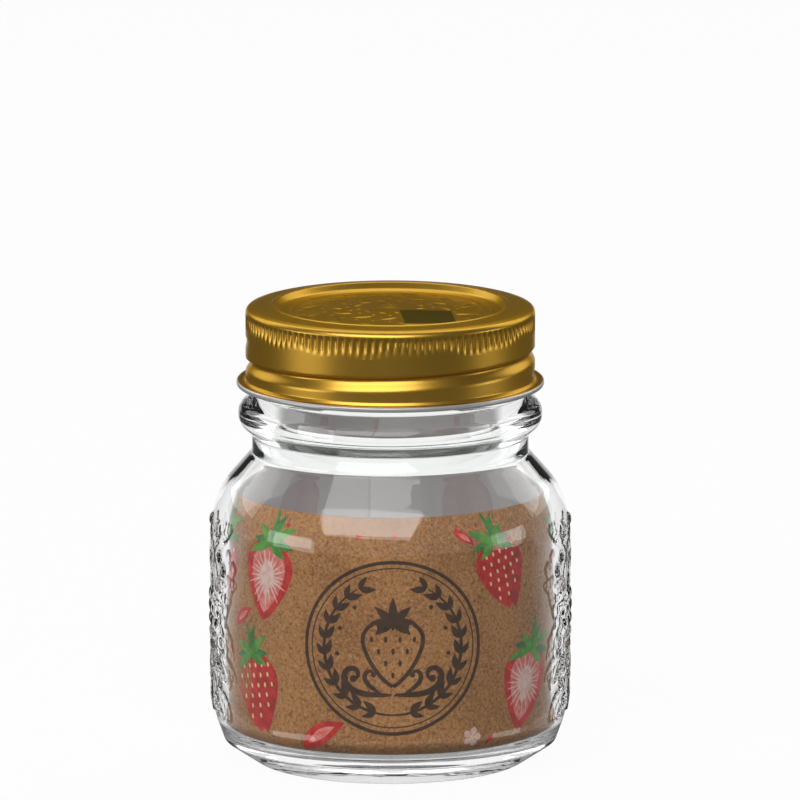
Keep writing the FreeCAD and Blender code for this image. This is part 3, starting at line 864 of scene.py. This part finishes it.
def draw_badge(pen, arc, height, radius):
    """A round badge with no words: two rings, a wreath of leaves, and a drawn berry between scrolls."""
    here = np.array((arc, height))
    angles = np.linspace(0, TURN, 121)
    circle = np.stack((np.cos(angles), np.sin(angles)), axis=1)
    for reach, thick in ((radius, 0.8), (radius - 1.4, 0.3)):
        pen.patch(here + reach * circle, np.full(len(circle), thick / 2), 2)
    middle = radius - 4.3
    for side in (-1, 1):
        # the wreath: a bowed stem with pairs of leaves, and small berries inside it
        stem = np.linspace(-0.262, 0.165, 71) * TURN
        pen.stroke(here + middle * np.stack((side * np.cos(stem), np.sin(stem)), axis=1), 0.8)
        for k, angle in enumerate(np.linspace(-0.21, 0.17, 11) * TURN):
            ray = np.array((side * math.cos(angle), math.sin(angle)))
            for way, size in ((-0.7, 4.0), (0.7, 3.4)):
                leaf = blade(here + middle * ray, side * (way - angle), size, -0.6 * side * way, 13)
                pen.patch(leaf, leaf_half(size * 0.4, 13), 2)
            if k % 2 and k > 2:
                pen.dot(*(here + (middle - 3.0) * ray), 0.5)
        # the berry's outline, from its tip to its crown
        rise = np.linspace(0, 15.8, 41)
        outline = np.stack((side * berry_half(15.0, 41), rise - 9.0), axis=1)[:-3]
        pen.patch(here + outline, np.full(len(outline), 0.46), 2)
        # scrolls under the berry
        for start, heading, length, last, thick in (
            ((0.0, -11.0), 0.0, 19.9, 1.0, 1.5), ((2.6, -10.8), 0.6, 9.0, 1.5, 1.1),
        ):
            line = volute(here + (side * start[0], start[1]), heading, length, last, side)
            pen.stroke(line, thick)
            pen.dot(*line[-1], thick * 0.55)
    # the berry's seeds, and its crown
    for row, count in enumerate((1, 2, 3, 4, 3)):
        for k in range(count):
            pen.dot(*(here + ((k - (count - 1) / 2) * 3.2, row * 2.8 - 6.4)), 0.38, 1.9)
    for angle in (-1.9, -1.35, -0.7, 0.0, 0.7, 1.35, 1.9):
        leaf = blade(here + (0, 5.6), angle, 6.4 - 0.8 * abs(angle), 0.3 * angle, 13)
        pen.patch(leaf, leaf_half(2.0, 13), 2)


def print_band():
    """All the print on the band, and its faint mirror on the band's inner side."""
    inks = {}
    for key, name, lift, scale, deep, light in (
        ("red", "berry_red", 0.03, 420, (0.38, 0.002, 0.010), (0.58, 0.018, 0.022)),
        ("shade", "berry_shade", 0.05, 420, (0.30, 0.004, 0.01), (0.50, 0.012, 0.02)),
        ("flesh", "berry_flesh", 0.05, 700, (0.62, 0.10, 0.09), (0.66, 0.26, 0.22)),
        ("pale", "berry_heart", 0.07, 700, (0.66, 0.40, 0.36), (0.72, 0.56, 0.52)),
        ("seed", "berry_seed", 0.08, 420, (0.72, 0.50, 0.20), (0.80, 0.62, 0.32)),
        ("leaf", "leaf_green", 0.09, 420, (0.008, 0.11, 0.02), (0.02, 0.22, 0.035)),
        ("leaf_light", "leaf_light", 0.1, 420, (0.02, 0.20, 0.02), (0.09, 0.31, 0.04)),
    ):
        inks[key] = Print(name + "_print", ink(name + "_ink", deep, light, scale), lift)
    brown = ink("badge_brown_ink", (0.02, 0.009, 0.004), (0.04, 0.018, 0.008), paper_share=0.08)
    pen = Print("badge_print", brown, 0.04)
    draw_badge(pen, 0.6, 33.6, 20.0)
    # in front, fruit is placed one by one round the badge; behind, it goes round in two rows
    fruits = [
        (cut_berry, -30.5, 47, 19.0, 0.12), (whole_berry, 27, 49, 17.0, -0.3),
        (cut_berry, 34, 21.5, 19.5, 0.25), (whole_berry, -34, 20.5, 18.5, -0.2),
        (slice_of_berry, -16.5, 13.5, 13.0, 0.75), (blossom, 19, 12.0, 4.6, None),
        (slice_of_berry, 17.5, 58.6, 6.0, 1.9),
    ]
    for k in range(7):
        arc = 52 + k * 22.5
        draw = (whole_berry, cut_berry)[k % 2]
        height = 20 + 27 * ((k + 1) % 2) + random.uniform(-2, 2)
        fruits.append((draw, arc, height, random.uniform(17, 20), random.uniform(-0.5, 0.5)))
        fruits.append((blossom, arc + random.uniform(-3, 3), 46 - 26 * ((k + 1) % 2), 5.0, None))
        fruits.append((slice_of_berry, arc + 10, random.uniform(30, 38), 8.0, random.uniform(0, 3)))
    for draw, arc, height, size, lean in fruits:
        values = (arc, height, size) if lean is None else (arc, height, size, lean)
        draw(inks, *values)
    # small splashes of red, none of them on the badge
    for _ in range(70):
        arc, height = random.uniform(-115, 115), random.uniform(10, 60)
        if abs(arc) < 22 and abs(height - 33) < 22:
            continue
        radius, stretch = random.uniform(0.15, 0.6), random.uniform(0.8, 1.5)
        inks["red"].dot(arc, height, radius, stretch, random.uniform(0, 3))
    faint = ink("show_through_ink", (0.66, 0.54, 0.56), (0.72, 0.60, 0.61), scale=150, paper_share=0.0)
    ghost = Print("show_through", faint, -PAPER - 0.03)
    for _, arc, height, size, lean in fruits:
        if lean is not None:
            tip = onward((arc, height), lean, -size / 2)
            ghost.patch(blade(tip, lean, size, 0.0, 25), berry_half(size * 0.8, 25), 12)
    return [drawing.piece() for drawing in (*inks.values(), pen, ghost)]


# ---------------------------------------------------------------- camera, light and floor

STAGE_GREY = (0.09, 0.09, 0.09)


def aim(thing, place, target):
    """Puts a camera or a lamp at a place, looking at the target."""
    thing.location = Vector(place)
    thing.rotation_euler = (Vector(target) - Vector(place)).to_track_quat("-Z", "Y").to_euler()


def make_camera():
    """A long lens from the front, a little above the lid."""
    camera = bpy.data.objects.new("camera", bpy.data.cameras.new("camera"))
    bpy.context.scene.collection.objects.link(camera)
    distance, elevation, view_width, sensor_width = 4.0, math.radians(11.0), 0.1846, 36.0
    target = Vector((0.00224, 0.0, 0.0840))
    place = target + Vector((0, -math.cos(elevation), math.sin(elevation))) * distance
    aim(camera, place, target)
    camera.data.sensor_width = sensor_width
    camera.data.lens = sensor_width * distance / view_width
    camera.data.clip_end = 50.0
    bpy.context.scene.camera = camera


def white_where_seen(name):
    """A grey surface, white to the camera and through glass.

    Reflections see it white only low down and straight behind the jar.
    """
    finish = Finish(name)
    camera = finish.light_path("Is Camera Ray")
    glossy = finish.light_path("Is Glossy Ray")
    across, depth, height = finish.parts()
    beside = finish.maths("ABSOLUTE", across)
    through = finish.seen_through() * (0.22 + 0.78 * finish.step(depth - 0.3 * beside, -0.03, 0.08))
    straight = finish.step(depth - 2.2 * beside, 0.0, 0.15)
    mirrored = glossy * (0.06 + 0.8 * straight * (1 - finish.step(height, 0.05, 0.3)))
    seen = finish.maths("ADD", camera * 0.95 + through, mirrored, clamp=True)
    speckle = finish.noise(400, 2.0, 0.5)
    grey = finish.mix(STAGE_GREY, tuple(0.97 * part for part in STAGE_GREY), speckle)
    paper = finish.principled(Base_Color=finish.mix(grey, (0.9, 0.9, 0.9), camera), Roughness=0.9)
    glow = finish.node("ShaderNodeEmission", None, {"Color": (1, 1, 1, 1), "Strength": 1.0})
    return finish.done(finish.node("ShaderNodeMixShader", None, {0: seen, 1: paper, 2: glow}))


def make_stage():
    """A grey floor and a backdrop far behind it, both white where they are seen."""
    for name, corners in (
        ("floor", [(-3, -3, 0), (3, -3, 0), (3, 3, 0), (-3, 3, 0)]),
        ("backdrop", [(-2.0, 2.9, -0.1), (2.0, 2.9, -0.1), (2.0, 2.9, 2.0), (-2.0, 2.9, 2.0)]),
    ):
        paper = white_where_seen(name + "_paper")
        new_piece(name, corners, [(0, 1, 2, 3)], [0], [paper])


def make_world():
    """Dim studio walls, which look paler through the glass."""
    walls = Finish("studio", bpy.data.worlds)
    strength = 0.11 + 0.74 * walls.seen_through()
    glow = walls.node("ShaderNodeBackground", None, {"Color": (1, 1, 1, 1), "Strength": strength})
    bpy.context.scene.world = walls.done(glow, "World")


def soft_box(name, azimuth, elevation, distance, size, radiance):
    """A square lamp that faces the jar: azimuth from the front towards +X and elevation up, in degrees."""
    data = bpy.data.lights.new(name, "AREA")
    data.shape = "RECTANGLE"
    data.size, data.size_y = size
    data.energy = radiance * math.pi * size[0] * size[1]
    box = bpy.data.objects.new(name, data)
    bpy.context.scene.collection.objects.link(box)
    side, up = math.radians(azimuth), math.radians(elevation)
    middle = Vector((0, 0, 0.055))
    away = Vector((math.cos(up) * math.sin(side), -math.cos(up) * math.cos(side), math.sin(up)))
    aim(box, middle + away * distance, middle)


def make_lamps():
    """A window in front, low panels at the sides, and softer ones behind."""
    soft_box("front_window", -16, 40, 1.7, (1.9, 1.2), 3.2)
    soft_box("left_panel", -68, 0, 1.0, (0.6, 0.36), 3.0)
    soft_box("right_panel", 84, 0, 1.0, (0.45, 0.36), 2.2)
    soft_box("rear_left_panel", -130, 28, 1.4, (0.9, 0.9), 1.2)
    soft_box("rear_right_panel", 130, 28, 1.4, (0.9, 0.9), 1.2)
    soft_box("back_panel", 180, 56, 1.6, (1.8, 1.0), 1.3)


# ---------------------------------------------------------------- making it all

random.seed(11)
make_camera()
make_world()
make_stage()

glass, gold, tin = clear_glass(), gold_lacquer(), bare_tin()
jar = make_jar(glass)
lid = make_lid(gold, tin)
seal = make_seal(sealing_compound())
band = make_band(brown_paper(), white_back())
prints = print_band()
make_lamps()

for piece, slot in (
    (jar, "clear_glass"), (lid, "gold_lacquer"), (seal, "sealing_compound"), (band, "printed_paper"),
):
    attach(piece, "root")
for piece in prints:
    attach(piece, "root")
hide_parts("jar")
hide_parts("lid")
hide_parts("sealing_ring")
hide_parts("paper_band")

# light passes many surfaces of glass
settings = bpy.context.scene.cycles
settings.max_bounces = 24
settings.transmission_bounces = 24
settings.glossy_bounces = 8
settings.transparent_max_bounces = 24

bpy.context.scene.view_settings.view_transform = "Standard"
